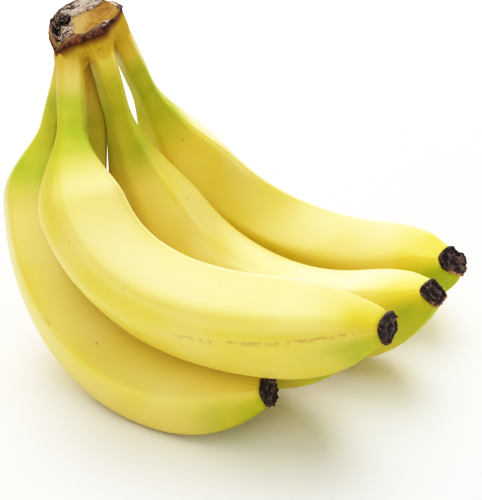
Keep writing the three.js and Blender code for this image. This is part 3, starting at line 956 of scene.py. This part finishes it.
# painted shade browning the flares just below the callus rim
UNDER_RIM_SHADE_BROWN = (0.17, 0.055, 0.006)
LIP_TAN = (0.42, 0.25, 0.10)
RIM_BLACK = (0.05, 0.018, 0.012)
SEAT_TAN = (0.62, 0.34, 0.17)
SEAT_BLOTCHES = 700.0  # cells per metre
# Depth of the fine relief, in metres.
PEEL_RELIEF, BARK_RELIEF, HUSK_RELIEF = 0.00012, 0.0005, 0.0006
STREAKS_ROUND, STREAKS_DOWN = 3.0, 40.0  # streaks round the stem, and per metre down it


def stem_place(n):
    """A place on the unrolled stem, stretched so that a pattern on it runs down the stem."""
    around_a = n.times(n.mark("around_a"), STREAKS_ROUND)
    around_b = n.times(n.mark("around_b"), STREAKS_ROUND)
    return n.vector(around_a, around_b, n.times(n.mark("down"), STREAKS_DOWN))


def peel_material():
    made, n, shader = material("banana_peel", Roughness=0.5, IOR=1.45, Specular_IOR_Level=0.25,
                               Coat_Roughness=0.4, Coat_IOR=1.9)
    tint = n.group(PEEL_TINT, Woody=n.mark("woody"), Neck=n.mark("neck"), Tip=n.mark("tip"),
                   Low=n.mark("low"), Worn=n.mark("worn"), Around=stem_place(n))
    n.put(shader["Base Color"], tint["Color"])
    n.put(shader["Coat Weight"], tint["Wax"])
    n.put(shader["Normal"], n.bump(tint["Height"], PEEL_RELIEF, 0.5))
    return made


def crown_material():
    """Bark on the callus rim, then over it the torn wood, the dark hollow, the clean patch, the
    pale lip, the peel of the flares with painted shade browning it just below the rim, and the black
    edge of the rim."""
    made, n, shader = material("crown_wood", Roughness=0.7, Specular_IOR_Level=0.35)
    bark = n.group(DRY_FIBRE, **BARK, Share=n.span(n.mark("lumps"), 0.2, 0.8, 0.35, 0.75))
    wood = n.group(DRY_FIBRE, **CLEAN_WOOD)
    clean = n.mix(n.span(n.mark("patch_tone"), 0.35, 1.0), wood["Color"], WOOD_BLOOM)
    wisps = n.group(DRY_FIBRE, **WISPS, Share=n.span(n.mark("fibres"), 0.25, 0.70, 0.38, 0.85))
    torn = n.mix(n.mark("grey"), n.mix(0.75, wisps["Color"], TORN_BROWN), wisps["Color"])
    hollow = n.group(DRY_FIBRE, **DARK_HOLLOW, Share=n.span(n.mark("fibres"), 0.40, 0.85, 0.28, 0.62))
    flare = n.group(PEEL_TINT, Woody=n.mark("woody"), Neck=n.mark("neck"), Tip=0.0, Low=1.0, Worn=0.0,
                    Around=stem_place(n))
    # painted shade: the flares darken to brown just below the callus rim
    shaded_flare = n.mix(n.times(n.mark("under_rim_shade"), 0.95), flare["Color"], UNDER_RIM_SHADE_BROWN)
    colour = n.mix(n.mark("torn"), bark["Color"], torn)
    colour = n.mix(n.mark("hollow"), colour, hollow["Color"])
    colour = n.mix(n.mark("patch"), colour, clean)
    colour = n.mix(n.times(n.mark("lip"), 0.8), colour, LIP_TAN)
    colour = n.mix(n.mark("flare"), colour, shaded_flare)
    colour = n.mix(n.times(n.mark("rim_edge"), 0.8), colour, RIM_BLACK)
    n.put(shader["Base Color"], colour)
    relief = n.math("SUBTRACT", 1.0, n.math("MAXIMUM", n.mark("flare"), n.times(n.mark("patch"), 0.7)))
    n.put(shader["Normal"], n.bump(n.times(bark["Height"], relief), BARK_RELIEF, 0.8))
    return made


def shred_material():
    made, n, shader = material("torn_fibre", Roughness=0.8, Specular_IOR_Level=0.3)
    strand = n.group(DRY_FIBRE, **STRANDS, Share=n.span(n.mark("pale"), 0.0, 1.0, 0.15, 1.0))
    n.put(shader["Base Color"], strand["Color"])
    return made


def dried_material():
    """A dark husk that follows the folds, tan in blotches where it sits on the peel."""
    made, n, shader = material("dried_blossom", Roughness=0.42, Specular_IOR_Level=0.5)
    husk = n.group(DRY_FIBRE, **HUSK, Share=n.span(n.mark("fold"), 0.20, 1.0, 0.28, 0.62))
    tan = n.times(n.mark("seat"), n.span(n.noise(SEAT_BLOTCHES), 0.30, 0.5))
    n.put(shader["Base Color"], n.mix(tan, husk["Color"], SEAT_TAN))
    n.put(shader["Normal"], n.bump(husk["Height"], HUSK_RELIEF, 0.9))
    return made


# ---- the hand

PEEL = peel_material()
WOOD = crown_material()
SHRED = shred_material()
DRIED = dried_material()


def dress(piece, look, slot, *nodes):
    piece.data.materials.append(look)
    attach(piece, "root")
    if nodes:
        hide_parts(*nodes)


for place, banana in BANANAS.items():
    dress(banana_skin(place, banana), PEEL, "banana_skin", "banana_" + place)
    dress(blossom_end(place, banana), DRIED, "dried_blossom", "blossom_end_" + place)
dress(crown(), WOOD, "crown_wood", "crown")
dress(crown_shreds(), SHRED, "crown_wood")


# ---- studio

FLOOR_HALF = 6.0
FLOOR_WHITE = (0.945, 0.945, 0.93)


def studio_floor():
    mesh = bpy.data.meshes.new("floor")
    signs = ((-1, -1), (1, -1), (1, 1), (-1, 1))
    mesh.from_pydata([(FLOOR_HALF * x, FLOOR_HALF * y, 0.0) for x, y in signs], [], [(0, 1, 2, 3)])
    floor = bpy.data.objects.new("floor", mesh)
    SCENE.collection.objects.link(floor)
    look, n, shader = material("floor_white", Roughness=0.9)
    n.put(shader["Base Color"], FLOOR_WHITE)
    mesh.materials.append(look)


def aim(thing, place, target):
    """Puts a light or a camera in its place and turns it to look at its target."""
    thing.location = place
    thing.rotation_euler = (Vector(target) - Vector(place)).to_track_quat("-Z", "Y").to_euler()
    SCENE.collection.objects.link(thing)
    return thing


def soft_light(name, place, target, size, power, colour):
    data = bpy.data.lights.new(name, "AREA")
    data.shape = "RECTANGLE"
    data.size, data.size_y = size
    data.energy = power
    data.color = colour
    aim(bpy.data.objects.new(name, data), place, target)


WHITE = (1.0, 1.0, 1.0)
WARM = (1.0, 0.94, 0.83)
HAND = (0.0, 0.0, 0.05)
# Soft boxes: place, what they look at, size, watts and colour.
SOFT_BOXES = {
    "back_box": ((0.0, 1.4, 0.5), HAND, (1.6, 1.0), 14.2, WARM),
    "overhead_back": ((0.0, 0.6, 1.3), (0.0, 0.6, 0.0), (1.0, 1.2), 12.5, WHITE),
    "overhead_front": ((0.0, -0.6, 1.3), (0.0, -0.6, 0.0), (1.0, 1.2), 6.0, WHITE),
    "front_box": ((0.0, -1.2, 0.85), HAND, (1.2, 0.4), 3.3, WHITE),
    "left_box": ((-1.0, 0.2, 0.9), HAND, (0.7, 0.7), 2.2, WHITE),
    "left_front_box": ((-0.95, -0.9, 0.4), HAND, (0.9, 0.4), 1.9, WHITE),
    "right_box": ((1.3, 0.25, 0.4), HAND, (0.8, 0.5), 2.2, WHITE),
    "right_front_box": ((0.95, -0.9, 0.5), HAND, (0.9, 0.4), 0.4, WHITE),
}
WORLD_LIGHT = 0.21


def studio_lights():
    for name, box in SOFT_BOXES.items():
        soft_light(name, *box)
    world = bpy.data.worlds.new("studio")
    world.use_nodes = True
    background = world.node_tree.nodes["Background"].inputs
    background["Color"].default_value = (*WHITE, 1.0)
    background["Strength"].default_value = WORLD_LIGHT
    SCENE.world = world


WHITE_LEVEL = 1.3  # the brightness that prints as white
# Brightness in the scene and in print, with a soft toe and shoulder.
TONES = (
    (0.0, 0.0), (0.08, 0.036), (0.16, 0.105), (0.28, 0.245), (0.45, 0.46),
    (0.65, 0.70), (0.85, 0.86), (1.05, 0.95), (1.3, 1.0),
)


def picture_tone():
    """The curve from brightness in the scene to brightness in print."""
    view = SCENE.view_settings
    view.view_transform = "Standard"
    view.use_curve_mapping = True
    mapping = view.curve_mapping
    mapping.white_level = (WHITE_LEVEL,) * 3
    mapping.extend = "HORIZONTAL"
    curve = mapping.curves[3]
    places = [(bright / WHITE_LEVEL, printed) for bright, printed in TONES]
    curve.points[0].location = places[0]
    curve.points[-1].location = places[-1]
    for place in places[1:-1]:
        curve.points.new(*place)
    mapping.update()


CAMERA_PLACE = (0.0015, -0.695, 0.450)
CAMERA_TARGET = (0.0015, 0.0844, 0.0)
LENS, SENSOR = 146.7, 36.0


def camera():
    data = bpy.data.cameras.new("camera")
    data.lens = LENS
    data.sensor_width = SENSOR
    data.clip_start, data.clip_end = 0.05, 50.0
    SCENE.camera = aim(bpy.data.objects.new("camera", data), CAMERA_PLACE, CAMERA_TARGET)


studio_floor()
studio_lights()
camera()
picture_tone()
